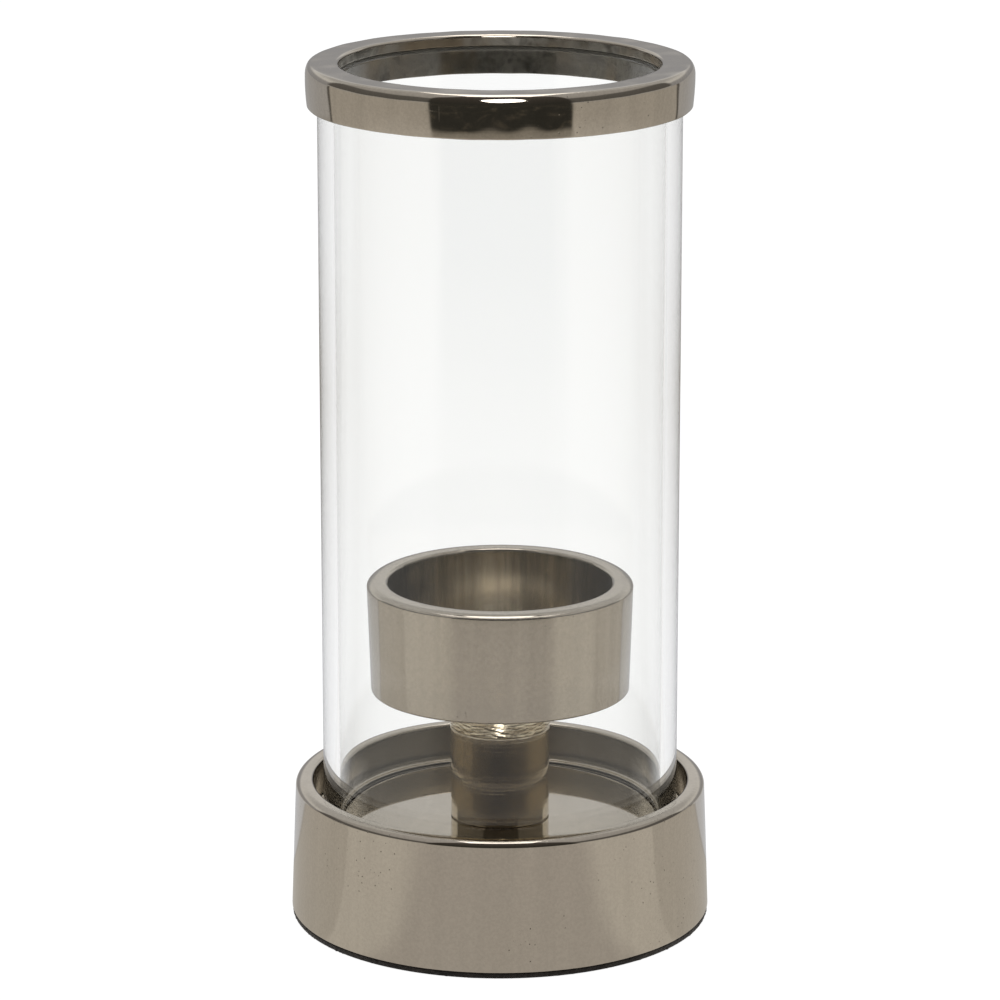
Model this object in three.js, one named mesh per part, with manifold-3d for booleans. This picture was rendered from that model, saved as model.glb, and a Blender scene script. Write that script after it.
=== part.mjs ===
// Hurricane candle lantern: a polished drum base with a sunken tray, a turned stem that
// carries a thick-walled candle cup, and a clear glass tube, capped by a ring, that stands
// in the tray and lifts off. Millimetres, +Z up, origin at the centre of the felt's underside.
import * as THREE from "three";
import { mergeVertices } from "three/addons/utils/BufferGeometryUtils.js";
import Module from "manifold-3d";

// Driving dimensions
const TURNS = 64; // facets round a wide turned piece
const SMALL_TURNS = 32; // facets round a bolt, washer or stem
const ARC_STEPS = 2; // straight steps in each rounded corner
const GAP = 0.3; // left between two pieces that touch

const FELT_THICKNESS = 1.5;
const FELT_RADIUS = 73.7;

const BASE_HEIGHT = 48.9; // rim of the drum above the table
const BASE_FOOT_RADIUS = 74.05;
const BASE_RIM_RADIUS = 72.25;
const TRAY_RADIUS = 66.1;
const TRAY_FLOOR = 35.3;
const TRAY_THICKNESS = 5;
const HOLLOW_RADIUS = 66; // inside of the drum, below the tray
const BOARD_RADIUS = 67.6;
const BOARD_THICKNESS = 3.1;

const STEM_RADIUS = 17.35;
const STEM_WALL = 3;
const COLLAR_FOOT = 68.6; // where the stem ends and the collar begins
const COLLAR_RADIUS = 17.9;
const COLLAR_FLARE = 5; // height over which it widens to that radius

const CUP_FOOT = 82.6;
const CUP_TOP = 121.8;
const CUP_FOOT_RADIUS = 45.5;
const CUP_TOP_RADIUS = 46.8;
const CUP_BORE = 39.7;
const CUP_DEPTH = 31.5;
const CUP_BORE_DRAFT = 0.8; // the bore's radius is this much less at its floor

const GLASS_RADIUS = 62.5;
const GLASS_WALL = 5.6;
const GLASS_TOP = 299;

const RING_FOOT = 289.6;
const RING_TOP = 304.6;
const RING_RADIUS = 66.5;
const RING_FOOT_RADIUS = 66.25;
const RING_BORE = 55.1;
const RING_LIP = 4; // thickness of the lip over the end of the glass
const BEAD_THICKNESS = 1;

const BOLT_RADIUS = 4; // M8
const BOLT_HEAD_RADIUS = 7.9;
const BOLT_END = 16.5;
const BOLT_CHAMFER = 0.6;
const SLOT_WIDTH = 1.8;
const SLOT_DEPTH = 2;
const WASHER_RADIUS = 12;
const WASHER_THICKNESS = 1.6;
const SPRING_WASHER_RADIUS = 7.4;
const SPRING_WASHER_THICKNESS = 2;
const NUT_ACROSS_FLATS = 13;
const NUT_HEIGHT = 6.5;

const cupFloor = CUP_TOP - CUP_DEPTH;
const trayUnderside = TRAY_FLOOR - TRAY_THICKNESS;
const baseFoot = FELT_THICKNESS + GAP;
const boltHole = BOLT_RADIUS + GAP;

const finish = (color, roughness, metalness) =>
  new THREE.MeshStandardMaterial({ color, roughness, metalness });

const polishedNickel = finish(0xa69e92, 0.08, 1);
const stemNickel = finish(0x6b6355, 0.22, 1);
const rawBrass = finish(0xb8a27c, 0.35, 1);
const zincSteel = finish(0x9a9c9e, 0.4, 1);
const blackFelt = finish(0x1e1916, 0.95, 0);
const fibreboard = finish(0x8a6b48, 0.9, 0);
const clearAdhesive = finish(0xb8b4a6, 0.5, 0);
const clearGlass = new THREE.MeshPhysicalMaterial({
  color: 0xf6f8f7,
  roughness: 0.02,
  metalness: 0,
  transmission: 1,
  ior: 1.5,
  transparent: true,
  opacity: 0.35,
});

const lantern = new THREE.Group();

function addPiece(name, geometry, material, parent = lantern) {
  const mesh = new THREE.Mesh(geometry, material);
  mesh.name = name;
  parent.add(mesh);
  return mesh;
}

// The points of one corner: the corner itself, or an arc that touches both of its sides.
function cornerPoints(before, corner, after) {
  const [radius, height, rounding = 0] = corner;
  const point = new THREE.Vector2(radius, height);
  if (rounding === 0) return [point];
  const toBefore = new THREE.Vector2(before[0], before[1]).sub(point).normalize();
  const toAfter = new THREE.Vector2(after[0], after[1]).sub(point).normalize();
  const halfAngle = Math.acos(toBefore.dot(toAfter)) / 2;
  const middle = toBefore.clone().add(toAfter).normalize();
  const centre = middle.multiplyScalar(rounding / Math.sin(halfAngle)).add(point);
  const reach = rounding / Math.tan(halfAngle);
  const first = point.clone().addScaledVector(toBefore, reach).sub(centre);
  const last = point.clone().addScaledVector(toAfter, reach).sub(centre);
  const sweep = Math.atan2(first.cross(last), first.dot(last));
  return Array.from({ length: ARC_STEPS + 1 }, (_, step) =>
    first.clone().rotateAround(new THREE.Vector2(), (sweep * step) / ARC_STEPS).add(centre)
  );
}

// A turned piece. Its outline is a loop of [radius, height, rounding] corners that runs up
// the outside and back down the bore, or one that starts and ends on the axis.
function turned(outline, turns = TURNS) {
  const count = outline.length;
  const closesOnAxis = outline[0][0] === 0 && outline[count - 1][0] === 0;
  const points = outline.flatMap((corner, index) =>
    cornerPoints(outline[(index + count - 1) % count], corner, outline[(index + 1) % count])
  );
  if (!closesOnAxis) points.push(points[0].clone());
  return new THREE.LatheGeometry(points, turns).rotateX(Math.PI / 2);
}

function turnedRing(bore, radius, foot, top, turns = TURNS) {
  const outline = [
    [bore, foot],
    [radius, foot],
    [radius, top],
    [bore, top],
  ];
  return turned(outline, turns);
}

function turnedDisc(radius, foot, top) {
  return turned([
    [0, foot],
    [radius, foot],
    [radius, top],
    [0, top],
  ]);
}

const wasm = await Module();
wasm.setup();

function solidOf(geometry) {
  const bare = geometry.clone();
  bare.deleteAttribute("normal");
  bare.deleteAttribute("uv");
  const merged = mergeVertices(bare, 1e-4);
  return new wasm.Manifold(
    new wasm.Mesh({
      numProp: 3,
      vertProperties: new Float32Array(merged.attributes.position.array),
      triVerts: new Uint32Array(merged.index.array),
    })
  );
}

function geometryOf(solid) {
  const mesh = solid.getMesh();
  const geometry = new THREE.BufferGeometry();
  geometry.setAttribute("position", new THREE.BufferAttribute(mesh.vertProperties, 3));
  geometry.setIndex(new THREE.BufferAttribute(mesh.triVerts, 1));
  geometry.computeVertexNormals();
  return geometry;
}

// Base: one hollow casting. The outline runs under the foot, up the tapered drum, over the
// rounded rim, down the tray wall, across the tray floor to the bolt hole and back outwards
// under the tray to the ledge that the board sits against.
function buildBaseCasting() {
  const ledge = baseFoot + BOARD_THICKNESS + GAP;
  return turned([
    [BOARD_RADIUS + GAP, baseFoot],
    [BASE_FOOT_RADIUS, baseFoot, 0.8],
    [BASE_RIM_RADIUS, BASE_HEIGHT, 1.9],
    [TRAY_RADIUS, BASE_HEIGHT, 1.1],
    [TRAY_RADIUS, TRAY_FLOOR, 0.9],
    [boltHole, TRAY_FLOOR],
    [boltHole, trayUnderside],
    [HOLLOW_RADIUS - 0.6, trayUnderside, 3],
    [HOLLOW_RADIUS, ledge],
    [BOARD_RADIUS + GAP, ledge],
  ]);
}

function buildBase() {
  addPiece("felt_pad", turnedDisc(FELT_RADIUS, 0, FELT_THICKNESS), blackFelt);
  const board = turnedDisc(BOARD_RADIUS, baseFoot, baseFoot + BOARD_THICKNESS);
  addPiece("base_board", board, fibreboard);
  addPiece("base_casting", buildBaseCasting(), polishedNickel);
}

// Stem: a plain tube on the tray floor, with a slightly flared collar on top of it.
function buildStem() {
  const stem = turnedRing(
    STEM_RADIUS - STEM_WALL,
    STEM_RADIUS,
    TRAY_FLOOR + GAP,
    COLLAR_FOOT - GAP,
    SMALL_TURNS
  );
  const collarOutline = [
    [boltHole, COLLAR_FOOT],
    [STEM_RADIUS + 0.05, COLLAR_FOOT],
    [COLLAR_RADIUS, COLLAR_FOOT + COLLAR_FLARE],
    [COLLAR_RADIUS, CUP_FOOT - GAP],
    [boltHole, CUP_FOOT - GAP],
  ];
  const collar = turned(collarOutline, SMALL_TURNS);
  addPiece("stem", stem, stemNickel);
  addPiece("stem_collar", collar, rawBrass);
}

// Cup: a thick wall with a little draft inside and out, and a countersunk hole in its floor.
function buildCup() {
  const sinkRadius = BOLT_HEAD_RADIUS + GAP;
  const sinkFoot = cupFloor - (sinkRadius - boltHole);
  const cup = turned([
    [boltHole, CUP_FOOT],
    [CUP_FOOT_RADIUS, CUP_FOOT, 0.9],
    [CUP_TOP_RADIUS, CUP_TOP, 2.8],
    [CUP_BORE, CUP_TOP, 1.5],
    [CUP_BORE - CUP_BORE_DRAFT, cupFloor, 2.5],
    [sinkRadius, cupFloor],
    [boltHole, sinkFoot],
  ]);
  addPiece("candle_cup", cup, polishedNickel);
}

// One long countersunk bolt holds the cup, collar and stem down on the tray.
function buildBolt() {
  const headTop = cupFloor - GAP;
  const neck = headTop - (BOLT_HEAD_RADIUS - BOLT_RADIUS);
  const outline = [
    [0, BOLT_END],
    [BOLT_RADIUS - BOLT_CHAMFER, BOLT_END],
    [BOLT_RADIUS, BOLT_END + BOLT_CHAMFER],
    [BOLT_RADIUS, neck],
    [BOLT_HEAD_RADIUS, headTop],
    [0, headTop],
  ];
  const blank = turned(outline, SMALL_TURNS);
  const slot = new THREE.BoxGeometry(2 * BOLT_HEAD_RADIUS + 2, SLOT_WIDTH, 2 * SLOT_DEPTH);
  slot.translate(0, 0, headTop);
  addPiece("tie_bolt", geometryOf(solidOf(blank).subtract(solidOf(slot))), zincSteel);
}

// The flat washer, split spring washer and nut hang in that order under the tray.
function buildFixings() {
  const washerTop = trayUnderside - GAP;
  const washerFoot = washerTop - WASHER_THICKNESS;
  const washer = turnedRing(boltHole, WASHER_RADIUS, washerFoot, washerTop, SMALL_TURNS);
  addPiece("flat_washer", washer, zincSteel);

  const springTop = washerFoot - GAP;
  const springFoot = springTop - SPRING_WASHER_THICKNESS;
  const halfSplit = 0.12; // radians either side of the cut
  const split = new THREE.Shape();
  split.absarc(0, 0, SPRING_WASHER_RADIUS, halfSplit, 2 * Math.PI - halfSplit, false);
  split.absarc(0, 0, boltHole, 2 * Math.PI - halfSplit, halfSplit, true);
  const springWasher = new THREE.ExtrudeGeometry(split, {
    depth: SPRING_WASHER_THICKNESS,
    bevelEnabled: false,
    curveSegments: 16,
  });
  addPiece("spring_washer", springWasher, zincSteel).position.z = springFoot;

  const hexagon = new THREE.Shape(
    Array.from({ length: 6 }, (_, side) => {
      const angle = (side * Math.PI) / 3;
      const reach = NUT_ACROSS_FLATS / 2 / Math.cos(Math.PI / 6);
      return new THREE.Vector2(reach * Math.cos(angle), reach * Math.sin(angle));
    })
  );
  const hole = new THREE.Path();
  hole.absarc(0, 0, boltHole, 0, 2 * Math.PI, true);
  hexagon.holes.push(hole);
  const nut = new THREE.ExtrudeGeometry(hexagon, {
    depth: NUT_HEIGHT,
    bevelEnabled: false,
    curveSegments: 12,
  });
  addPiece("hex_nut", nut, zincSteel).position.z = springFoot - GAP - NUT_HEIGHT;
}

// Shade: the glass tube, the bead that bonds the ring on, and the ring with the rebate that
// takes the end of the glass.
function buildShade() {
  const glassBore = GLASS_RADIUS - GLASS_WALL;
  const glass = turned([
    [glassBore, TRAY_FLOOR + GAP, 0.7],
    [GLASS_RADIUS, TRAY_FLOOR + GAP, 0.7],
    [GLASS_RADIUS, GLASS_TOP, 0.7],
    [glassBore, GLASS_TOP, 0.7],
  ]);
  const lipFoot = RING_TOP - RING_LIP;
  const rebateRadius = GLASS_RADIUS + 2 * GAP;
  const ring = turned([
    [rebateRadius, RING_FOOT, 0.4],
    [RING_FOOT_RADIUS, RING_FOOT, 1.2],
    [RING_RADIUS, RING_TOP, 3.4],
    [RING_BORE, RING_TOP, 1],
    [RING_BORE, lipFoot],
    [rebateRadius, lipFoot],
  ]);
  const beadTop = lipFoot - GAP;
  const bead = turnedRing(glassBore + GAP, GLASS_RADIUS - GAP, beadTop - BEAD_THICKNESS, beadTop);
  const shade = new THREE.Group();
  addPiece("glass_cylinder", glass, clearGlass, shade);
  addPiece("top_ring", ring, polishedNickel, shade);
  addPiece("ring_adhesive", bead, clearAdhesive, shade);
  lantern.add(shade);
}

buildBase();
buildStem();
buildCup();
buildBolt();
buildFixings();
buildShade();

export default lantern;
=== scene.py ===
import math

import bpy
import numpy as np
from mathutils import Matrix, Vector


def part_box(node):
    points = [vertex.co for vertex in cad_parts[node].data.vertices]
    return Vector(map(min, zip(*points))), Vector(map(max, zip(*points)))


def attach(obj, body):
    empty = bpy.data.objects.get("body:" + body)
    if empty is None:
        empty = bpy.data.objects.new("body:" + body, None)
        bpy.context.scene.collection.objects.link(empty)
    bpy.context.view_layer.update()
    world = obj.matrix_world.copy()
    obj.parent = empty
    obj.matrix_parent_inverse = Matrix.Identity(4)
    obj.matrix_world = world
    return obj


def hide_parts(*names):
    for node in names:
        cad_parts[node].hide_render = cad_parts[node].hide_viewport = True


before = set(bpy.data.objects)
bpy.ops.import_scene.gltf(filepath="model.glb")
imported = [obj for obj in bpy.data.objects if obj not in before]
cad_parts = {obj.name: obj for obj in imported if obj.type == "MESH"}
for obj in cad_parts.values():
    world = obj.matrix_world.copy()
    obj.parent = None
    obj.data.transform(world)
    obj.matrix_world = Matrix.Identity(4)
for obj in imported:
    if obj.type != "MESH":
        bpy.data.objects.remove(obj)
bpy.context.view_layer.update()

scene = bpy.context.scene
mm = 0.001  # outlines below are in millimetres
baseBody, shadeBody = "base", "glass_shade"
boltHole = 4.3  # radius of the bolt's hole in every piece that it holds


# the camera stands in front of the lantern and looks a little down on it
viewpoint = {
    "place": (0.0, -1.5898, 0.5775),
    "tiltDown": 15.057,  # degrees
    "lens": 169.83,
    "sensor": 36.0,
}
camera = bpy.data.objects.new("camera", bpy.data.cameras.new("camera"))
camera.location = viewpoint["place"]
camera.rotation_euler = (math.radians(90 - viewpoint["tiltDown"]), 0, 0)
camera.data.lens = viewpoint["lens"]
camera.data.sensor_width = viewpoint["sensor"]
camera.data.clip_start, camera.data.clip_end = 0.01, 60
scene.collection.objects.link(camera)
scene.camera = camera
scene.view_settings.view_transform = "Standard"
print("camera placed")


# a CAD node's lowest and highest corners, in millimetres
def nodeBox(node):
    low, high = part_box(node)
    return np.array(low) / mm, np.array(high) / mm


# A corner of an outline. Its bend is a cubic curve from the point reachBefore back along the first
# side to the point reachAfter along the second, with both handles on the sides, 0.552 of the way in.
def bendCorner(before, corner, after, steps=16, grip=0.552):
    place = np.array(corner[:2], float)
    reachBefore, reachAfter = corner[2:4] if len(corner) > 2 else (0, 0)
    if reachBefore == 0:
        return place[None]
    back = np.array(before[:2], float) - place
    onward = np.array(after[:2], float) - place
    first = place + back / np.linalg.norm(back) * reachBefore
    last = place + onward / np.linalg.norm(onward) * reachAfter
    firstHandle, lastHandle = first + (place - first) * grip, last + (place - last) * grip
    t = np.linspace(0, 1, steps + 1)[:, None]
    s = 1 - t
    return s**3 * first + 3 * s * s * t * firstHandle + 3 * s * t * t * lastHandle + t**3 * last


# An outline in radius and height: the bends of all its corners, joined by straight runs that are
# cut into steps no longer than spacing. It runs up the outside and down the inside.
def outlineOf(corners, spacing):
    count = len(corners)
    bends = [bendCorner(corners[i - 1], corners[i], corners[(i + 1) % count]) for i in range(count)]
    closed = corners[0][0] > 0 or corners[-1][0] > 0
    runs = []
    for index, bend in enumerate(bends):
        runs.append(bend)
        if index == count - 1 and not closed:
            break
        start, end = bend[-1], bends[(index + 1) % count][0]
        cuts = max(int(np.linalg.norm(end - start) / spacing), 1)
        share = np.linspace(0, 1, cuts + 1)[1:-1, None]
        runs.append(start + (end - start) * share)
    return np.concatenate(runs)


# Sixteen plane waves of random direction, added up: a smooth unevenness of about the given height,
# repeating roughly every length millimetres.
def unevenness(points, height, length, seed):
    rng = np.random.default_rng(seed)
    ways = rng.normal(size=(16, 3))
    ways /= np.linalg.norm(ways, axis=1)[:, None]
    ways *= 2 * np.pi / (length * rng.uniform(0.7, 1.6, 16))[:, None]
    return height / 4 * np.sin(points @ ways.T + rng.uniform(0, 2 * np.pi, 16)).sum(axis=-1)


# Points and faces of an outline carried round the axis: at each angle the radius is laid out along
# (cos, sin) and the height along Z. relief(points, outline) moves points along their normals, which
# are the outline's own, a quarter turn clockwise from the way it runs.
def turnRound(outline, turns, relief=None):
    onAxis = outline[0, 0] == 0
    ahead, behind = np.roll(outline, -1, 0), np.roll(outline, 1, 0)
    if onAxis:
        ahead[-1], behind[0] = outline[-1], outline[0]
    along = ahead - behind
    along /= np.maximum(np.linalg.norm(along, axis=1), 1e-9)[:, None]
    angle = np.arange(turns) * 2 * np.pi / turns
    spread = np.stack([np.cos(angle), np.sin(angle), np.zeros(turns)], -1)[None]
    upward = np.array([0.0, 0, 1])
    points = outline[:, None, :1] * spread + outline[:, None, 1:] * upward
    if relief is not None:
        normals = along[:, None, 1:] * spread - along[:, None, :1] * upward
        points = points + normals * relief(points, outline)[..., None]
    rings = len(outline)
    index = np.arange(rings * turns).reshape(rings, turns)
    nextTurn = np.roll(index, -1, 1)
    if not onAxis:
        nextRing, nextBoth = np.roll(index, -1, 0), np.roll(nextTurn, -1, 0)
        quads = np.stack([index, nextTurn, nextBoth, nextRing], -1).reshape(-1, 4)
        return points.reshape(-1, 3), [quads]
    quads = np.stack([index[1:-2], nextTurn[1:-2], nextTurn[2:-1], index[2:-1]], -1).reshape(-1, 4)
    foot = np.stack([np.zeros(turns, int), nextTurn[1], index[1]], -1)
    top = np.stack([index[-2], nextTurn[-2], np.full(turns, 1 + (rings - 2) * turns)], -1)
    inner = points[1:-1].reshape(-1, 3)
    loose = np.concatenate([points[:1, 0], inner, points[-1:, 0]])
    renumber = lambda faces: np.where(faces == 0, 0, faces - turns + 1)
    top[:, :2] = renumber(top[:, :2])
    foot[:, 1:] = renumber(foot[:, 1:])
    return loose, [renumber(quads), foot, top]


# a mesh from points in millimetres and arrays of faces, each array's faces having one corner count
def meshFrom(name, points, faceArrays, smooth=True):
    mesh = bpy.data.meshes.new(name)
    corners = np.concatenate([faces.ravel() for faces in faceArrays])
    sizes = np.concatenate([np.full(len(faces), faces.shape[1]) for faces in faceArrays])
    mesh.vertices.add(len(points))
    mesh.vertices.foreach_set("co", (points * mm).ravel())
    mesh.loops.add(len(corners))
    mesh.loops.foreach_set("vertex_index", corners.astype(np.int32))
    mesh.polygons.add(len(sizes))
    mesh.polygons.foreach_set("loop_start", (np.cumsum(sizes) - sizes).astype(np.int32))
    mesh.polygons.foreach_set("use_smooth", np.full(len(sizes), smooth))
    mesh.update(calc_edges=True)
    mesh.validate()
    return mesh


# puts a piece on its body, in place of its CAD nodes, with its materials
def addPiece(name, mesh, body, node, slotName, *materials):
    piece = bpy.data.objects.new(name, mesh)
    scene.collection.objects.link(piece)
    for material in materials:
        mesh.materials.append(material)
    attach(piece, body)
    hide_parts(node)
    return piece


# gives a turned mesh's faces the number of the first test that their stretch of outline passes
def markRings(mesh, outline, turns, *tests):
    middle = (outline + np.roll(outline, -1, 0)) / 2
    rings = np.zeros(len(outline), np.int32)
    for number, test in reversed(list(enumerate(tests, 1))):
        rings[test(middle[:, 0], middle[:, 1])] = number
    mesh.polygons.foreach_set("material_index", np.repeat(rings, turns))


# one shader node: keyword settings are its properties, and inputs are values or sockets to link
def addNode(tree, kind, inputs=None, **settings):
    made = tree.nodes.new("ShaderNode" + kind)
    for key, value in settings.items():
        setattr(made, key, value)
    for key, value in (inputs or {}).items():
        if isinstance(value, bpy.types.NodeSocket):
            tree.links.new(value, made.inputs[key])
        else:
            made.inputs[key].default_value = value
    return made


# one step of arithmetic on two values or sockets
def calculate(tree, operation, first, second=0.0):
    return addNode(tree, "Math", {0: first, 1: second}, operation=operation).outputs[0]


# maps value from the span (low, high) to the span (start, end), eased at both ends
def ease(tree, value, low, high, start=0.0, end=1.0):
    inputs = {"Value": value, "From Min": low, "From Max": high, "To Min": start, "To Max": end}
    return addNode(tree, "MapRange", inputs, interpolation_type="SMOOTHSTEP").outputs[0]


# goes from the first colour to the second as factor goes from 0 to 1, or multiplies them
def blendColours(tree, factor, first, second, mode="MIX"):
    made = addNode(tree, "Mix", {0: factor}, data_type="RGBA", blend_type=mode)
    for index, value in ((6, first), (7, second)):
        if isinstance(value, bpy.types.NodeSocket):
            tree.links.new(value, made.inputs[index])
        else:
            made.inputs[index].default_value = (*value, 1) if len(value) == 3 else value
    return made.outputs[2]


# object coordinates, stretched and turned
def stretched(tree, scale, turn=(0, 0, 0)):
    coordinates = addNode(tree, "TexCoord").outputs["Object"]
    inputs = {"Vector": coordinates, "Scale": scale, "Rotation": [math.radians(a) for a in turn]}
    return addNode(tree, "Mapping", inputs).outputs[0]


# fractal noise: detail is its layers, roughness how strong the finer ones are
def noise(tree, vector, scale, detail=2.0, roughness=0.5, distortion=0.0):
    inputs = {"Vector": vector, "Scale": scale, "Detail": detail, "Roughness": roughness,
              "Distortion": distortion}
    return addNode(tree, "TexNoise", inputs).outputs[0]


# a material whose even values are set on the shader itself
def newMaterial(name, **sockets):
    material = bpy.data.materials.new(name)
    material.use_nodes = True
    tree = material.node_tree
    shader = tree.nodes["Principled BSDF"]
    for key, value in sockets.items():
        shader.inputs[key].default_value = value
    return material, tree, shader


# shading that follows a height, on top of an earlier one if there is one
def bumpFrom(tree, height, strength, distance, onto=None):
    inputs = {"Height": height, "Strength": strength, "Distance": distance}
    if onto is not None:
        inputs["Normal"] = onto
    return addNode(tree, "Bump", inputs).outputs[0]


# Nickel plate, buffed by hand: haze in soft patches, faint buffing lines round the axis, a few fine
# scratches in two directions, and clusters of tiny dark pits from the casting.
def buffedNickel(name, settings):
    material, tree, shader = newMaterial(name, Metallic=1.0)
    plain = stretched(tree, (1, 1, 1))
    haze = noise(tree, plain, 22, 4, 0.6)
    lines = noise(tree, stretched(tree, (14, 14, 1400)), 1, 2)
    slant = noise(tree, stretched(tree, (30, 30, 1500), (0, 34, 20)), 1, 1)
    steep = noise(tree, stretched(tree, (1300, 26, 26), (0, 15, 70)), 1, 1)
    where = ease(tree, noise(tree, plain, 30, 2), 0.5, 0.62)
    scratches = calculate(tree, "MAXIMUM", ease(tree, slant, 0.70, 0.74), ease(tree, steep, 0.71, 0.75))
    share = calculate(tree, "MULTIPLY", where, settings["scratches"])
    scratches = calculate(tree, "MULTIPLY", scratches, share)
    cells = addNode(tree, "TexVoronoi", {"Vector": plain, "Scale": settings["pitScale"]})
    dots = ease(tree, cells.outputs["Distance"], 0.05, 0.13, 1, 0)
    clusters = ease(tree, noise(tree, plain, 26, 2), settings["pitSpread"], settings["pitSpread"] + 0.1)
    pits = calculate(tree, "MULTIPLY", dots, clusters)
    worn = blendColours(tree, haze, settings["colour"], settings["warmColour"])
    grain = ease(tree, noise(tree, plain, 900, 3, 0.7), 0.3, 0.7, 0.94, 1.04)
    upright = noise(tree, stretched(tree, (170, 170, 4)), 1, 3, 0.6)
    upright = ease(tree, upright, 0.35, 0.65, 1 - settings["streaks"], 1.0)
    worn = blendColours(tree, 1.0, worn, calculate(tree, "MULTIPLY", grain, upright), "MULTIPLY")
    marked = blendColours(tree, calculate(tree, "MULTIPLY", pits, 0.75), worn, settings["pitColour"])
    tree.links.new(marked, shader.inputs["Base Color"])
    gloss = ease(tree, haze, 0.35, 0.75, *settings["roughness"])
    gloss = calculate(tree, "ADD", gloss, calculate(tree, "MULTIPLY", scratches, 0.12))
    gloss = calculate(tree, "ADD", gloss, calculate(tree, "MULTIPLY", pits, 0.3))
    tree.links.new(gloss, shader.inputs["Roughness"])
    buffing = bumpFrom(tree, lines, settings["lineDepth"], 0.0002)
    scratched = bumpFrom(tree, calculate(tree, "MULTIPLY", scratches, -1), 0.25, 0.00005, buffing)
    pitted = bumpFrom(tree, calculate(tree, "MULTIPLY", pits, -1), 0.6, 0.0001, scratched)
    tree.links.new(pitted, shader.inputs["Normal"])
    return material


nickelSettings = {
    "colour": (0.655, 0.60, 0.515),
    "warmColour": (0.66, 0.595, 0.50),
    "roughness": (0.03, 0.085),
    "lineDepth": 0.012,
    "pitScale": 420,
    "pitSpread": 0.54,
    "pitColour": (0.09, 0.07, 0.05),
    "scratches": 0.6,
    "streaks": 0.04,  # upright, lighter and darker
}
stemSettings = {
    **nickelSettings,
    "colour": (0.72, 0.66, 0.54),
    "warmColour": (0.70, 0.61, 0.46),
    "roughness": (0.08, 0.15),
    "lineDepth": 0.14,
    "pitSpread": 0.5,
}
# satin nickel: a duller polish, and lighter than the plate elsewhere, which is painted light on the
# tray's wall
lightenedSatinSettings = {
    **nickelSettings,
    "colour": (0.74, 0.69, 0.60),
    "warmColour": (0.70, 0.63, 0.52),
    "roughness": (0.16, 0.26),
    "lineDepth": 0.008,
    "pitSpread": 0.75,
    "scratches": 0.0,
}
# bore nickel: rougher, and much lighter than the plate elsewhere, which is painted light lifting the
# shade in the cup's hollow
lightenedBoreSettings = {
    **lightenedSatinSettings,
    "colour": (0.84, 0.79, 0.69),
    "warmColour": (0.80, 0.73, 0.61),
    "roughness": (0.15, 0.24),
    "streaks": 0.3,
}
buffedCasting = buffedNickel("buffed_nickel", nickelSettings)
turnedNickel = buffedNickel("turned_nickel", stemSettings)
lightenedSatinNickel = buffedNickel("satin_nickel_painted_light", lightenedSatinSettings)
lightenedBoreNickel = buffedNickel("bore_nickel_painted_light", lightenedBoreSettings)


# The casting's own skin where no wheel reaches: dull, mottled grey and brown, with darker blots.
def castSkin():
    material, tree, shader = newMaterial("cast_skin", Metallic=1.0)
    plain = stretched(tree, (1, 1, 1))
    mottle = noise(tree, plain, 140, 5, 0.65, 0.4)
    broad = noise(tree, stretched(tree, (1, 1, 0.5)), 34, 3, 0.6)
    blots = ease(tree, noise(tree, plain, 60, 3, 0.7), 0.60, 0.70)
    grey = blendColours(tree, ease(tree, mottle, 0.35, 0.65), (0.25, 0.24, 0.21), (0.54, 0.52, 0.47))
    brown = blendColours(tree, ease(tree, broad, 0.42, 0.66), grey, (0.36, 0.30, 0.22))
    dark = blendColours(tree, calculate(tree, "MULTIPLY", blots, 0.6), brown, (0.10, 0.09, 0.075))
    tree.links.new(dark, shader.inputs["Base Color"])
    tree.links.new(ease(tree, mottle, 0.3, 0.7, 0.34, 0.62), shader.inputs["Roughness"])
    tree.links.new(bumpFrom(tree, mottle, 0.5, 0.0003), shader.inputs["Normal"])
    return material


# Rough-turned metal under thin plate: brassy, with tool marks round it and bright scores.
def scoredBrass():
    material, tree, shader = newMaterial("scored_brass", Metallic=1.0)
    marks = noise(tree, stretched(tree, (70, 70, 1500)), 1, 4, 0.6, 0.3)
    flecks = noise(tree, stretched(tree, (420, 420, 1200), (12, 0, 0)), 1, 3, 0.6)
    tone = blendColours(tree, ease(tree, marks, 0.38, 0.60), (0.66, 0.55, 0.38), (0.98, 0.90, 0.70))
    tree.links.new(tone, shader.inputs["Base Color"])
    tree.links.new(ease(tree, flecks, 0.3, 0.7, 0.08, 0.26), shader.inputs["Roughness"])
    scored = bumpFrom(tree, marks, 0.30, 0.0002)
    tree.links.new(bumpFrom(tree, flecks, 0.2, 0.0001, scored), shader.inputs["Normal"])
    return material


# Clear drawn tube glass, with very faint draw lines along it.
def tubeGlass():
    sockets = {"Base Color": (0.985, 0.99, 0.985, 1), "Roughness": 0.0, "IOR": 1.5}
    material, tree, shader = newMaterial("tube_glass", **sockets, **{"Transmission Weight": 1.0})
    drawn = noise(tree, stretched(tree, (90, 90, 3)), 1, 2)
    tree.links.new(bumpFrom(tree, drawn, 0.01, 0.0002), shader.inputs["Normal"])
    return material


# Pressed wool felt: short fibres in all directions, over a slow mottle, with a soft sheen.
def pressedFelt():
    sockets = {"Roughness": 0.95, "Sheen Weight": 0.35, "Sheen Roughness": 0.6}
    material, tree, shader = newMaterial("pressed_felt", **sockets)
    fibres = noise(tree, stretched(tree, (1, 1, 1)), 1500, 6, 0.75, 1.2)
    mottle = noise(tree, stretched(tree, (1, 1, 1)), 120, 3, 0.6)
    blend = calculate(tree, "MULTIPLY", fibres, mottle)
    tone = blendColours(tree, ease(tree, blend, 0.12, 0.4), (0.008, 0.006, 0.005), (0.045, 0.036, 0.03))
    tree.links.new(tone, shader.inputs["Base Color"])
    tree.links.new(bumpFrom(tree, fibres, 0.8, 0.0004), shader.inputs["Normal"])
    return material


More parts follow.
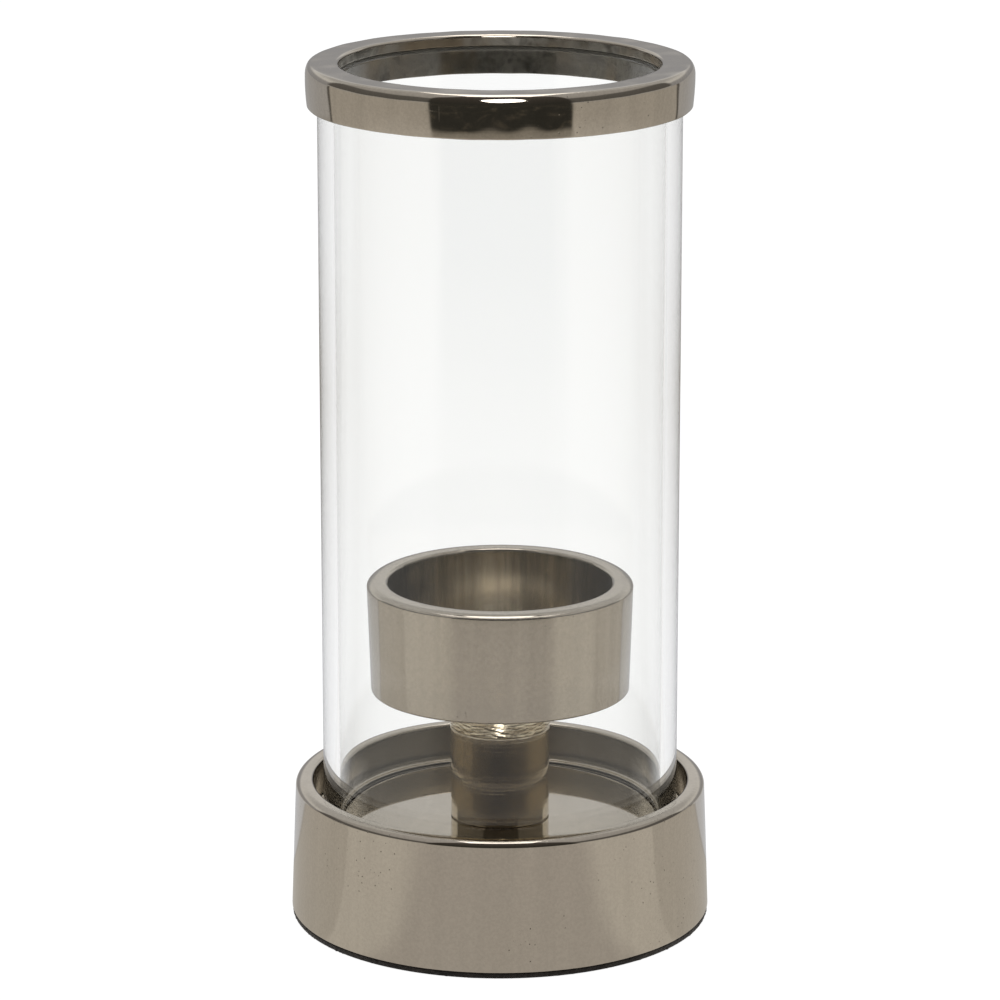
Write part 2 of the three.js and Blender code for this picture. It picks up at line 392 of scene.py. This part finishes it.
# Raw fibreboard: fine flecks of wood fibre in a brown mat.
def rawBoard():
    material, tree, shader = newMaterial("raw_board", Roughness=0.85)
    flecks = noise(tree, stretched(tree, (700, 260, 400), (0, 0, 25)), 1, 5, 0.7, 0.8)
    tone = blendColours(tree, ease(tree, flecks, 0.3, 0.7), (0.20, 0.12, 0.06), (0.46, 0.32, 0.18))
    tree.links.new(tone, shader.inputs["Base Color"])
    tree.links.new(bumpFrom(tree, flecks, 0.4, 0.0003), shader.inputs["Normal"])
    return material


# Zinc plate on steel: pale grey with a faint crystal grain and a yellow cast in places.
def zincPlate():
    material, tree, shader = newMaterial("zinc_plate", Metallic=1.0)
    grain = addNode(tree, "TexVoronoi", {"Vector": stretched(tree, (1, 1, 1)), "Scale": 900})
    patches = noise(tree, stretched(tree, (1, 1, 1)), 90, 3)
    tone = blendColours(tree, ease(tree, patches, 0.4, 0.7), (0.58, 0.59, 0.61), (0.62, 0.58, 0.47))
    tree.links.new(tone, shader.inputs["Base Color"])
    gloss = ease(tree, grain.outputs["Distance"], 0, 0.7, 0.28, 0.46)
    tree.links.new(gloss, shader.inputs["Roughness"])
    tree.links.new(bumpFrom(tree, grain.outputs["Distance"], 0.15, 0.0001), shader.inputs["Normal"])
    return material


# Cured silicone: milky, with small bubbles.
def curedSilicone():
    sockets = {"Roughness": 0.35, "IOR": 1.41, "Transmission Weight": 0.4}
    material, tree, shader = newMaterial("cured_silicone", **sockets)
    plain = stretched(tree, (1, 1, 1))
    bubbles = addNode(tree, "TexVoronoi", {"Vector": plain, "Scale": 800}).outputs["Distance"]
    milk = noise(tree, plain, 200, 2)
    tone = blendColours(tree, milk, (0.20, 0.19, 0.16), (0.30, 0.28, 0.24))
    tree.links.new(tone, shader.inputs["Base Color"])
    tree.links.new(bumpFrom(tree, bubbles, 0.4, 0.0003), shader.inputs["Normal"])
    return material


rawCasting = castSkin()
brass = scoredBrass()
glassClear = tubeGlass()
felt = pressedFelt()
board = rawBoard()
zinc = zincPlate()
silicone = curedSilicone()
print("materials made")


casting = {
    "footRadius": 74.05,
    "rimRadius": 72.25,
    "trayRadius": 66.1,
    "trayFloor": 35.3,
    "trayUnderside": 30.3,
    "hollowRadius": 66.0,
    "ledge": 5.2,
    "rimOutside": (2.4, 3.0),  # reach of the outer rounding, down the wall and across the rim
    "rimInside": (1.1, 1.1),
    "boardRadius": 67.9,
    "turns": 400,
    "waviness": (0.018, 34),  # height and length, millimetres
}


# The casting: its outline, carried round the axis. Its hollow keeps the rough cast skin, and the
# tray's wall has a duller polish than the outside, in a lighter nickel that is painted light against the
# tray's shade.
def buildCasting(s):
    low, high = nodeBox("base_casting")
    foot, rim = low[2], high[2]
    outline = outlineOf([
        (s["boardRadius"], foot),
        (s["footRadius"], foot, 0.9, 0.9),
        (s["rimRadius"], rim, *s["rimOutside"]),
        (s["trayRadius"], rim, *s["rimInside"]),
        (s["trayRadius"], s["trayFloor"], 1.0, 1.0),
        (boltHole, s["trayFloor"], 0.2, 0.2),
        (boltHole, s["trayUnderside"], 0.2, 0.2),
        (s["hollowRadius"] - 0.6, s["trayUnderside"], 3, 3),
        (s["hollowRadius"], s["ledge"], 0.2, 0.2),
        (s["boardRadius"], s["ledge"]),
    ], 3.0)
    waviness = lambda points, line: unevenness(points, *s["waviness"], 3)
    mesh = meshFrom("baseCasting", *turnRound(outline, s["turns"], waviness))
    hidden = lambda r, z: (z < s["trayUnderside"] + 0.1) & (r < s["hollowRadius"] + 2.2)
    trayWall = lambda r, z: (np.abs(r - s["trayRadius"] + 0.2) < 0.4) & (z < rim - 1.2)
    markRings(mesh, outline, s["turns"], hidden, trayWall)
    materials = (buffedCasting, rawCasting, lightenedSatinNickel)
    addPiece("baseCasting", mesh, baseBody, "base_casting", "polished_nickel", *materials)


buildCasting(casting)


feltPad = {
    "edge": 0.45,
    "clearance": 0.03,  # under the casting
    "frayed": 1.5,  # width of the frayed band
    "fray": (0.14, 1.3),  # height and length
    "wander": (0.1, 9),
    "turns": 720,
}


# The felt disc: an outline with a soft edge, its rim pushed in and out by two unevennesses, a
# short one for the fibres and a long one for the cut.
def buildFelt(s):
    radius = nodeBox("felt_pad")[1][0]
    top = nodeBox("base_casting")[0][2] - s["clearance"]
    corners = [(0, 0), (radius, 0, 0.3, 0.3), (radius, top, s["edge"], s["edge"]), (0, top)]
    outline = outlineOf(corners, 6)

    def fray(points, line):
        rim = np.clip(1 - (radius - line[:, :1]) / s["frayed"], 0, 1) * (line[:, 1:] > 0.02)
        ragged = unevenness(points, *s["fray"], 11) + unevenness(points, *s["wander"], 12)
        return rim * (ragged - s["wander"][0])

    points, faces = turnRound(outline, s["turns"], fray)
    points[:, 2] = np.clip(points[:, 2], 0, top)
    mesh = meshFrom("feltPad", points, faces)
    addPiece("feltPad", mesh, baseBody, "felt_pad", "black_felt", felt)


buildFelt(feltPad)


boardDisc = {"edge": (0.3, 0.3), "turns": 240}


# the board: a flat disc with its edges just broken
def buildBoard(s):
    low, high = nodeBox("base_board")
    radius, foot, top = high[0], low[2], high[2]
    outline = outlineOf([(0, foot), (radius, foot, *s["edge"]), (radius, top, *s["edge"]), (0, top)], 8)
    mesh = meshFrom("baseBoard", *turnRound(outline, s["turns"]))
    addPiece("baseBoard", mesh, baseBody, "base_board", "fibreboard", board)


buildBoard(boardDisc)
print("base made")


stem = {
    "radius": 17.35,
    "bore": 14.35,
    "clearance": 0.02,  # over the tray, and under the collar
    "footRounding": (0.7, 0.7),
    "flareFrom": 62.0,  # height where it starts to widen to its top
    "topRadius": 17.6,
    "toolMarks": (0.004, 2.5),
    "turns": 256,
}


# the stem: a tube with slight rings round it, from the unevenness squeezed along the axis
def buildStem(s):
    foot = casting["trayFloor"] + s["clearance"]
    top = nodeBox("stem_collar")[0][2] - s["clearance"]
    outline = outlineOf([
        (s["bore"], foot, 0.3, 0.3),
        (s["radius"], foot, *s["footRounding"]),
        (s["radius"], s["flareFrom"], 3, 3),
        (s["topRadius"], top, 0.25, 0.25),
        (s["bore"], top, 0.25, 0.25),
    ], 0.8)
    marks = lambda points, line: unevenness(points * (1, 1, 6), *s["toolMarks"], 21)
    mesh = meshFrom("stemTube", *turnRound(outline, s["turns"], marks))
    addPiece("stemTube", mesh, baseBody, "stem", "turned_stem", turnedNickel)


buildStem(stem)


collar = {
    "footRadius": 17.6,
    "radius": 17.9,
    "flare": 5.2,  # height over which it widens
    "clearance": 0.02,  # under the cup
    "rough": (0.045, 3.2),
    "fine": (0.03, 1.1),
    "turns": 256,
}


# the collar: scored round its outside by a coarse unevenness and a fine one, both squeezed
def buildCollar(s):
    foot = nodeBox("stem_collar")[0][2]
    top = nodeBox("candle_cup")[0][2] - s["clearance"]
    outline = outlineOf([
        (boltHole, foot, 0.3, 0.3),
        (s["footRadius"], foot, 0.3, 0.3),
        (s["radius"], foot + s["flare"], 2, 2),
        (s["radius"], top, 0.4, 0.4),
        (boltHole, top, 0.3, 0.3),
    ], 0.4)

    def scores(points, line):
        outside = line[:, :1] > s["footRadius"] - 0.5
        coarse = unevenness(points * (1, 1, 5), *s["rough"], 22)
        return outside * (coarse + unevenness(points * (1, 1, 3), *s["fine"], 23))

    mesh = meshFrom("stemCollar", *turnRound(outline, s["turns"], scores))
    return addPiece("stemCollar", mesh, baseBody, "stem_collar", "bare_collar", brass)


collarPiece = buildCollar(collar)


cup = {
    "footRadius": 45.5,
    "topRadius": 46.8,
    "bore": 39.3,
    "boreDraft": 0.6,
    "depth": 31.5,
    "outside": (1.6, 3.2),  # reach of the outer rounding, down the wall and across the rim
    "inside": (1.2, 1.2),
    "sinkRadius": 8.2,
    "turns": 400,
    "waviness": (0.014, 30),
    "boreWaviness": (0.045, 8),
}


# The cup: a thick wall and a countersunk floor. Its bore is dressed by hand, so a second unevenness,
# drawn out along the axis, is added there. Bore and floor take a much lighter nickel, painted light
# that lifts the shade in the hollow.
def buildCup(s):
    low, high = nodeBox("candle_cup")
    foot, top = low[2], high[2]
    floor = top - s["depth"]
    outline = outlineOf([
        (boltHole, foot, 0.2, 0.2),
        (s["footRadius"], foot, 1.0, 1.0),
        (s["topRadius"], top, *s["outside"]),
        (s["bore"], top, *s["inside"]),
        (s["bore"] - s["boreDraft"], floor, 2.8, 2.8),
        (s["sinkRadius"], floor, 0.15, 0.15),
        (boltHole, floor - s["sinkRadius"] + boltHole, 0.15, 0.15),
    ], 2.2)

    def waviness(points, line):
        inside = (line[:, :1] < s["bore"] + 0.2) & (line[:, 1:] > floor - 0.5)
        dressed = unevenness(points * (1, 1, 0.12), *s["boreWaviness"], 6)
        return unevenness(points, *s["waviness"], 5) + inside * dressed

    mesh = meshFrom("candleCup", *turnRound(outline, s["turns"], waviness))
    bored = lambda r, z: (r < s["bore"] + 0.3) & (z < top - 0.9) & (z > floor - 4)
    markRings(mesh, outline, s["turns"], bored)
    addPiece("candleCup", mesh, baseBody, "candle_cup", "polished_nickel", buffedCasting, lightenedBoreNickel)


buildCup(cup)
print("stem and cup made")


thread = {"pitch": 1.25, "depth": 0.66, "sharpness": 1.35, "stepsPerTurn": 8, "turns": 48}


# A screw thread as a height over angle and distance along the axis: a triangle wave of
# (distance / pitch - angle / full turn), its crest and root cut flat.
def threadHeight(points):
    angle = np.arctan2(points[..., 1], points[..., 0]) / (2 * np.pi)
    phase = (points[..., 2] / thread["pitch"] - angle) % 1
    wave = np.abs(phase * 2 - 1) * thread["sharpness"]
    return np.clip(wave - (thread["sharpness"] - 1) / 2, 0, 1)


bolt = {
    "radius": 4.0,
    "headRadius": 7.9,
    "slotWidth": 1.8,
    "slotDepth": 2.0,
    "slotTurn": 23.0,  # degrees
    "threadedTo": 62.0,
    "point": 0.7,  # chamfer of the end
}


# the bolt: its thread is cut into the outline wherever that is the shank's
def buildBolt(s):
    low, high = nodeBox("tie_bolt")
    end, top = low[2], high[2]
    neck = top - (s["headRadius"] - s["radius"])
    outline = outlineOf([
        (0, end),
        (s["radius"] - s["point"], end, 0.2, 0.2),
        (s["radius"], end + s["point"], 0.3, 0.3),
        (s["radius"], neck, 0.4, 0.4),
        (s["headRadius"], top, 0.25, 0.25),
        (0, top),
    ], thread["pitch"] / thread["stepsPerTurn"])

    def threadRelief(points, line):
        shank = (line[:, 0] > s["radius"] - 0.5) & (line[:, 1] < s["threadedTo"])
        return -thread["depth"] * shank[:, None] * threadHeight(points)

    mesh = meshFrom("tieBolt", *turnRound(outline, thread["turns"], threadRelief))
    piece = addPiece("tieBolt", mesh, baseBody, "tie_bolt", "zinc_steel", zinc)
    cutSlot(piece, top, s)


# cuts the screwdriver slot with a box, then keeps the cut mesh and removes the box
def cutSlot(piece, top, s):
    x, y, z = s["headRadius"] + 1, s["slotWidth"] / 2, s["slotDepth"]
    corners = np.array([(i, j, k) for i in (-x, x) for j in (-y, y) for k in (top - z, top + z)])
    turn = math.radians(s["slotTurn"])
    corners[:, :2] = corners[:, :2] @ np.array([
        (math.cos(turn), math.sin(turn)), (-math.sin(turn), math.cos(turn))])
    faces = np.array([(0, 1, 3, 2), (4, 6, 7, 5), (0, 4, 5, 1), (2, 3, 7, 6), (0, 2, 6, 4), (1, 5, 7, 3)])
    cutter = bpy.data.objects.new("slotCutter", meshFrom("slotCutter", corners, [faces], smooth=False))
    scene.collection.objects.link(cutter)
    cut = piece.modifiers.new("slot", "BOOLEAN")
    cut.object, cut.operation, cut.solver = cutter, "DIFFERENCE", "EXACT"
    bpy.context.view_layer.update()
    ready = piece.evaluated_get(bpy.context.evaluated_depsgraph_get())
    mesh = bpy.data.meshes.new_from_object(ready)
    piece.modifiers.clear()
    piece.data = mesh
    bpy.data.objects.remove(cutter)
    mesh.set_sharp_from_angle(angle=math.radians(35))


buildBolt(bolt)


# a plain ring's outline, with all four corners bent by the same reach
def ringOutline(bore, radius, foot, top, reach, spacing):
    corners = [(bore, foot), (radius, foot), (radius, top), (bore, top)]
    return outlineOf([(*corner, reach, reach) for corner in corners], spacing)


flatWasher = {"edge": 0.25, "turns": 128}


def buildFlatWasher(s):
    low, high = nodeBox("flat_washer")
    outline = ringOutline(boltHole, high[0], low[2], high[2], s["edge"], 1.5)
    mesh = meshFrom("flatWasher", *turnRound(outline, s["turns"]))
    addPiece("flatWasher", mesh, baseBody, "flat_washer", "zinc_steel", zinc)


buildFlatWasher(flatWasher)


springWasher = {
    "bore": 4.4,
    "radius": 7.2,
    "edge": 0.25,
    "gap": 0.24,  # opening between its ends, radians
    "rise": 0.3,
    "steps": 96,
}


# the split washer: a rounded square section carried round nearly a full turn while it rises
def buildSpringWasher(s):
    low, high = nodeBox("spring_washer")
    steps, gap, rise = s["steps"], s["gap"], s["rise"]
    section = ringOutline(s["bore"], s["radius"], low[2], high[2] - rise, s["edge"], 1.0)
    angle = np.linspace(gap / 2, 2 * np.pi - gap / 2, steps)[None]
    radius, height = section[:, :1], section[:, 1:] + rise * np.linspace(0, 1, steps)[None]
    points = np.stack([radius * np.cos(angle), radius * np.sin(angle), height], -1)
    index = np.arange(len(section) * steps).reshape(len(section), steps)
    below, above = index, np.roll(index, -1, 0)
    quads = np.stack([below[:, :-1], below[:, 1:], above[:, 1:], above[:, :-1]], -1).reshape(-1, 4)
    ends = [index[None, :, 0], index[None, ::-1, -1]]
    mesh = meshFrom("springWasher", points.reshape(-1, 3), [quads, *ends])
    mesh.set_sharp_from_angle(angle=math.radians(40))
    addPiece("springWasher", mesh, baseBody, "spring_washer", "zinc_steel", zinc)


buildSpringWasher(springWasher)


nut = {
    "acrossFlats": 13.0,
    "chamfer": 0.58,
    "bore": 4.32,
    "threadDepth": 0.3,
    "turns": 192,
    "rings": 40,
}


# The nut: at each angle the outside's radius is the hexagon's, half the width across flats over the
# cosine of the angle from the nearest flat's middle, and no more than that of a cone at each end.
def buildNut(s):
    low, high = nodeBox("hex_nut")
    turns, rings = s["turns"], s["rings"]
    angle = np.arange(turns) * 2 * np.pi / turns
    fromFlat = (angle % (np.pi / 3)) - np.pi / 6
    hexagon = s["acrossFlats"] / 2 / np.cos(fromFlat)
    height = np.linspace(low[2], high[2], rings)[:, None]
    inward = np.minimum(height - low[2], high[2] - height)
    outside = np.minimum(hexagon[None], s["acrossFlats"] / 2 + inward / s["chamfer"])
    bore = np.full((rings, turns), s["bore"])
    place = lambda radius: np.stack(
        [radius * np.cos(angle), radius * np.sin(angle), np.broadcast_to(height, radius.shape)], -1)
    inside = place(bore)[::-1]
    grooved = s["bore"] - s["threadDepth"] * (1 - threadHeight(inside))
    inside[..., 0], inside[..., 1] = grooved * np.cos(angle), grooved * np.sin(angle)
    points = np.concatenate([place(outside), inside])
    index = np.arange(2 * rings * turns).reshape(2 * rings, turns)
    nextTurn = np.roll(index, -1, 1)
    nextRing, nextBoth = np.roll(index, -1, 0), np.roll(nextTurn, -1, 0)
    quads = np.stack([index, nextTurn, nextBoth, nextRing], -1).reshape(-1, 4)
    mesh = meshFrom("hexNut", points.reshape(-1, 3), [quads])
    mesh.set_sharp_from_angle(angle=math.radians(28))
    addPiece("hexNut", mesh, baseBody, "hex_nut", "zinc_steel", zinc)


buildNut(nut)
print("fixings made")


tube = {
    "radius": 62.5,
    "wall": 5.6,
    "clearance": 0.05,  # over the tray
    "endRounding": 0.9,
    "turns": 512,
    "waviness": (0.012, 60),
}


# the glass: a plain tube with smoothed ends, and an unevenness drawn out along it
def buildTube(s):
    foot, top = casting["trayFloor"] + s["clearance"], nodeBox("glass_cylinder")[1][2]
    outline = ringOutline(s["radius"] - s["wall"], s["radius"], foot, top, s["endRounding"], 6)
    waviness = lambda points, line: unevenness(points * (1, 1, 0.4), *s["waviness"], 31)
    mesh = meshFrom("glassCylinder", *turnRound(outline, s["turns"], waviness))
    addPiece("glassCylinder", mesh, shadeBody, "glass_cylinder", "clear_glass", glassClear)


buildTube(tube)


ring = {
    "radius": 66.5,
    "footRadius": 65.95,
    "waist": 296.0,  # where the outside starts to turn in towards its foot
    "bore": 55.1,
    "rebate": 63.1,
    "lip": 4.0,
    "outside": (3.8, 2.0),
    "inside": (1.0, 1.0),
    "crest": 0.09,  # what the waviness adds at the most
    "turns": 448,
    "waviness": (0.045, 14),
}


# The ring: it leans in below its waist, and a rebate under its lip takes the glass. What the
# wheel doesn't reach keeps the cast skin.
def buildRing(s):
    low, high = nodeBox("top_ring")
    foot, top = low[2], high[2] - s["crest"]
    lipFoot = high[2] - s["lip"]
    outline = outlineOf([
        (s["rebate"], foot, 0.5, 0.5),
        (s["footRadius"], foot, 0.5, 0.5),
        (s["radius"], s["waist"], 4, 3.5),
        (s["radius"], top, *s["outside"]),
        (s["bore"], top, *s["inside"]),
        (s["bore"], lipFoot, 0.3, 0.3),
        (s["rebate"], lipFoot, 0.3, 0.3),
    ], 1.1)
    waviness = lambda points, line: unevenness(points, *s["waviness"], 41)
    mesh = meshFrom("topRing", *turnRound(outline, s["turns"], waviness))
    unpolished = lambda r, z: (r < s["rebate"] + 0.2) & (z < top - 1.3)
    markRings(mesh, outline, s["turns"], unpolished)
    return addPiece("topRing", mesh, shadeBody, "top_ring", "polished_nickel", buffedCasting, rawCasting)


ringPiece = buildRing(ring)


bead = {
    "bore": 55.7,
    "radius": 62.2,
    "squeezedDown": 0.25,  # how far it fills the gaps under and over its node
    "squeezedUp": 0.27,
    "edge": 0.5,
    "lumps": (0.03, 5),
    "turns": 256,
}


# the bead of adhesive between the end of the glass and the ring's lip
def buildBead(s):
    low, high = nodeBox("ring_adhesive")
    foot, top = low[2] - s["squeezedDown"], high[2] + s["squeezedUp"]
    outline = ringOutline(s["bore"], s["radius"], foot, top, s["edge"], 1.2)
    lumps = lambda points, line: unevenness(points, *s["lumps"], 51)
    mesh = meshFrom("ringAdhesive", *turnRound(outline, s["turns"], lumps))
    addPiece("ringAdhesive", mesh, shadeBody, "ring_adhesive", "clear_adhesive", silicone)


buildBead(bead)
print("shade made")


# The studio. The eye, and what it sees through the glass, meets a plain pale floor and room. The
# plating is given a fuller room to mirror: a warm floor that fades into a dark doorway in front,
# pale walls at the sides and behind, one soft panel overhead, a small one in front for the ring and
# a tiny one inside the glass for the collar.
studio = {
    "pale": 0.95,  # floor and room in plain sight
    "paper": (0.25, 0.25, 0.25),  # what the floor adds where light falls on it
    "floorHalf": 30.0,
    "floorLevel": -0.00005,  # just clear of the felt
    "fullScale": 4.0,  # the floor's distances below are shares of this
    "doorway": 41.5,  # half width of the dark doorway, degrees
    "doorwayMiddle": 1.5,  # degrees right of straight ahead
    "backWall": (120.0, 123.0),  # where side and back meet, near the lantern and far from it
    "backMiddle": (0.0, 4.5),  # degrees right of straight behind, near and far
    "darkerBehind": -0.040,  # the floor's mirrored colour is darker behind this line
    "nearFloor": (0.555, 0.533, 0.498),
    "frontFloor": (0.446, 0.423, 0.400),
    "floorBehindLine": (0.485, 0.463, 0.430),
    "backFloor": (0.565, 0.570, 0.590),
    "middleBackFloor": (0.26, 0.24, 0.21),
    "farFloor": (0.42, 0.395, 0.36),
    "farBackFloor": (0.40, 0.395, 0.395),
    "threshold": (0.27, 0.25, 0.22),  # floor just before the doorway
    "dark": (0.034, 0.033, 0.029),
    "clutter": (0.085, 0.075, 0.06),  # brown things seen dimly through the doorway
    "seam": (0.06, 0.055, 0.05),  # line where side and back meet
    "streaks": 0.05,  # how much the floor varies with bearing
    # the room's colours at shares of the way up from level to overhead
    "frontRoom": [(0, (0.034, 0.033, 0.029)), (0.3, (0.05, 0.045, 0.04)), (0.78, (0.09, 0.08, 0.075))],
    "sideRoom": [
        (0, (0.40, 0.39, 0.38)), (0.02, (0.40, 0.39, 0.38)), (0.035, (0.11, 0.105, 0.10)),
        (0.28, (0.13, 0.125, 0.12)), (0.36, (0.38, 0.37, 0.365)), (0.8, (0.44, 0.43, 0.43))],
    "backRoom": [
        (0, (0.30, 0.30, 0.315)), (0.11, (0.35, 0.35, 0.36)), (0.18, (0.66, 0.655, 0.655)),
        (0.25, (0.60, 0.60, 0.60)), (0.33, (0.46, 0.46, 0.465)), (0.6, (0.52, 0.52, 0.52))],
}
panels = {
    "colour": (1.0, 0.975, 0.97),
    "overhead": {"place": (0, 0.28, 1.30), "aim": (0, 0.28, 0), "size": (0.50, 1.35), "power": 3.8},
    "front": {"place": (0.02, -0.62, 0.60), "aim": (0, 0, 0.3), "size": (0.30, 0.30), "power": 1.0},
    "collar": {
        "place": (0, -0.05, 0.065), "aim": (0, 0, 0.081), "size": (0.014, 0.016), "power": 0.0017},
}


# the angle from straight ahead (or from the given middle), either way, in degrees
def bearing(tree, x, y, middle=0.0):
    turned = calculate(tree, "ARCTAN2", x, calculate(tree, "MULTIPLY", y, -1))
    turned = calculate(tree, "MULTIPLY", turned, math.degrees(1))
    return calculate(tree, "ABSOLUTE", calculate(tree, "SUBTRACT", turned, middle))


# soft upright bands: a factor near 1 that wanders with the bearing only
def streaks(tree, x, y, amount):
    level = addNode(tree, "CombineXYZ", {0: x, 1: y})
    outward = addNode(tree, "VectorMath", {0: level.outputs[0]}, operation="NORMALIZE").outputs[0]
    swing = ease(tree, noise(tree, outward, 5, 4, 0.6), 0.3, 0.7, -1, 1)
    return calculate(tree, "ADD", 1.0, calculate(tree, "MULTIPLY", swing, amount))


# colours at given values, with straight blends between them
def ramp(tree, value, stops):
    made = addNode(tree, "ValToRGB", {0: value})
    elements = made.color_ramp.elements
    elements.remove(elements[0])
    for index, (place, colour) in enumerate(stops):
        element = elements[0] if index == 0 else elements.new(place)
        element.position = place
        element.color = (*colour, 1)
    return made.outputs[0]


# 1 for light that plating mirrors, 0 for plain sight: rays straight from the eye, rays that have
# only gone through glass, and rays that turned once inside a glass wall and left it backwards.
def mirrored(tree, angle):
    path = addNode(tree, "LightPath").outputs
    bounces, passes = path["Glossy Depth"], path["Transmission Depth"]
    straight = calculate(tree, "LESS_THAN", bounces, 0.5)
    onlyWall = calculate(tree, "MULTIPLY", calculate(tree, "LESS_THAN", bounces, 1.5),
                         calculate(tree, "LESS_THAN", passes, 3.5))
    onlyWall = calculate(tree, "MULTIPLY", onlyWall, ease(tree, angle, 104, 116))
    through = calculate(tree, "MULTIPLY", path["Is Transmission Ray"],
                        calculate(tree, "MAXIMUM", straight, onlyWall))
    return calculate(tree, "SUBTRACT", 1.0, calculate(tree, "MAXIMUM", path["Is Camera Ray"], through))


# The floor's mirrored colours, by distance from the lantern and by bearing round it: the doorway in
# front, plain sides, and a lighter back past a dark seam. The floor glows with them and no lamp
# lights it, so their lighter and darker stretches are painted light and shade.
def floorColours(tree, coordinates, x, y, s):
    squares = calculate(tree, "ADD", calculate(tree, "MULTIPLY", x, x), calculate(tree, "MULTIPLY", y, y))
    distance = calculate(tree, "DIVIDE", calculate(tree, "SQRT", squares), s["fullScale"])
    clutter = noise(tree, coordinates, 3.2, 5, 0.7, 0.5)
    beyond = blendColours(tree, ease(tree, clutter, 0.50, 0.68), s["dark"], s["clutter"])
    nearFront = ramp(tree, distance, [(0.08, s["frontFloor"]), (0.20, s["threshold"])])
    front = blendColours(tree, ease(tree, distance, 0.20, 0.25), nearFront, beyond)
    behindLine = ease(tree, y, s["darkerBehind"] - 0.002, s["darkerBehind"] + 0.002)
    nearSide = blendColours(tree, behindLine, s["nearFloor"], s["floorBehindLine"])
    side = blendColours(tree, ease(tree, distance, 0.08, 0.34), nearSide, s["farFloor"])
    back = ramp(tree, distance, [
        (0.08, s["backFloor"]), (0.20, s["middleBackFloor"]), (0.30, s["farBackFloor"])])
    softness = ease(tree, distance, 0.07, 0.22, 7.0, 1.2)
    inDoorway = calculate(tree, "SUBTRACT", bearing(tree, x, y, s["doorwayMiddle"]), s["doorway"])
    sideways = calculate(tree, "DIVIDE", inDoorway, softness)
    around = blendColours(tree, ease(tree, sideways, -1, 1), front, side)
    corner = ease(tree, distance, 0.05, 0.25, *s["backWall"])
    middle = ease(tree, distance, 0.05, 0.25, *s["backMiddle"])
    pastCorner = calculate(tree, "SUBTRACT", bearing(tree, x, y, middle), corner)
    around = blendColours(tree, ease(tree, pastCorner, -1, 2), around, back)
    seam = ease(tree, calculate(tree, "ABSOLUTE", pastCorner), 0.4, 2.4, 1, 0)
    depth = ease(tree, distance, 0.05, 0.25, 0.12, 0.85)
    around = blendColours(tree, calculate(tree, "MULTIPLY", seam, depth), around, s["seam"])
    amount = ease(tree, distance, 0.05, 0.08, 0.01, s["streaks"])
    return blendColours(tree, 1.0, around, streaks(tree, x, y, amount), "MULTIPLY")


# the floor: pale and evenly bright in plain sight, and the colours above where plating mirrors it
def buildFloor(s):
    material = bpy.data.materials.new("studio_floor")
    material.use_nodes = True
    tree = material.node_tree
    tree.nodes.clear()
    coordinates = addNode(tree, "TexCoord").outputs["Object"]
    place = addNode(tree, "SeparateXYZ", {0: coordinates})
    x, y = place.outputs[0], place.outputs[1]
    around = floorColours(tree, coordinates, x, y, s)
    eye = addNode(tree, "AddShader")
    glow = addNode(tree, "Emission", {"Color": (1, 1, 1, 1), "Strength": s["pale"]})
    matt = addNode(tree, "BsdfDiffuse", {"Color": (*s["paper"], 1)})
    tree.links.new(glow.outputs[0], eye.inputs[0])
    tree.links.new(matt.outputs[0], eye.inputs[1])
    seen = addNode(tree, "Emission", {"Color": around})
    both = addNode(tree, "MixShader", {0: mirrored(tree, bearing(tree, x, y))})
    tree.links.new(eye.outputs[0], both.inputs[1])
    tree.links.new(seen.outputs[0], both.inputs[2])
    tree.links.new(both.outputs[0], addNode(tree, "OutputMaterial").inputs[0])
    half, level = s["floorHalf"], s["floorLevel"]
    corners = [(-half, -half, level), (half, -half, level), (half, half, level), (-half, half, level)]
    mesh = bpy.data.meshes.new("studioFloor")
    mesh.from_pydata(corners, [], [(0, 1, 2, 3)])
    mesh.materials.append(material)
    floor = bpy.data.objects.new("studioFloor", mesh)
    scene.collection.objects.link(floor)


# the room: as the floor, but its mirrored colours go by height and bearing
def buildRoom(s):
    world = bpy.data.worlds.new("studioRoom")
    scene.world = world
    world.use_nodes = True
    tree = world.node_tree
    tree.nodes.clear()
    way = addNode(tree, "SeparateXYZ", {0: addNode(tree, "TexCoord").outputs["Generated"]})
    x, y = way.outputs[0], way.outputs[1]
    rise = calculate(tree, "DIVIDE", calculate(tree, "ARCSINE", way.outputs[2]), math.pi / 2)
    front, side, back = [ramp(tree, rise, s[part]) for part in ("frontRoom", "sideRoom", "backRoom")]
    inDoorway = calculate(tree, "SUBTRACT", bearing(tree, x, y, s["doorwayMiddle"]), s["doorway"])
    around = blendColours(tree, ease(tree, inDoorway, -1.5, 1.5), front, side)
    pastCorner = calculate(tree, "SUBTRACT", bearing(tree, x, y), s["backWall"][0])
    around = blendColours(tree, ease(tree, pastCorner, -3, 3), around, back)
    seen = blendColours(tree, mirrored(tree, bearing(tree, x, y)), [s["pale"]] * 3, around)
    room = addNode(tree, "Background", {"Color": seen})
    tree.links.new(room.outputs[0], addNode(tree, "OutputWorld").inputs[0])


# a soft panel that isn't seen itself, and lights only the given pieces if there are any
def addPanel(name, shape, s, *onlyOn):
    light = bpy.data.lights.new(name, "AREA")
    light.shape = shape
    light.size, light.size_y = s["size"]
    light.energy = s["power"]
    light.color = panels["colour"]
    panel = bpy.data.objects.new(name, light)
    panel.location = s["place"]
    panel.rotation_euler = (Vector(s["aim"]) - Vector(s["place"])).to_track_quat("-Z", "Y").to_euler()
    panel.visible_camera = panel.visible_transmission = False
    scene.collection.objects.link(panel)
    if onlyOn:
        receivers = bpy.data.collections.new(name + "Receivers")
        for piece in onlyOn:
            receivers.objects.link(piece)
        panel.light_linking.receiver_collection = receivers


buildFloor(studio)
buildRoom(studio)
addPanel("overheadPanel", "RECTANGLE", panels["overhead"])
addPanel("frontPanel", "ELLIPSE", panels["front"], ringPiece)
addPanel("collarStrip", "RECTANGLE", panels["collar"], collarPiece)
print("studio built")
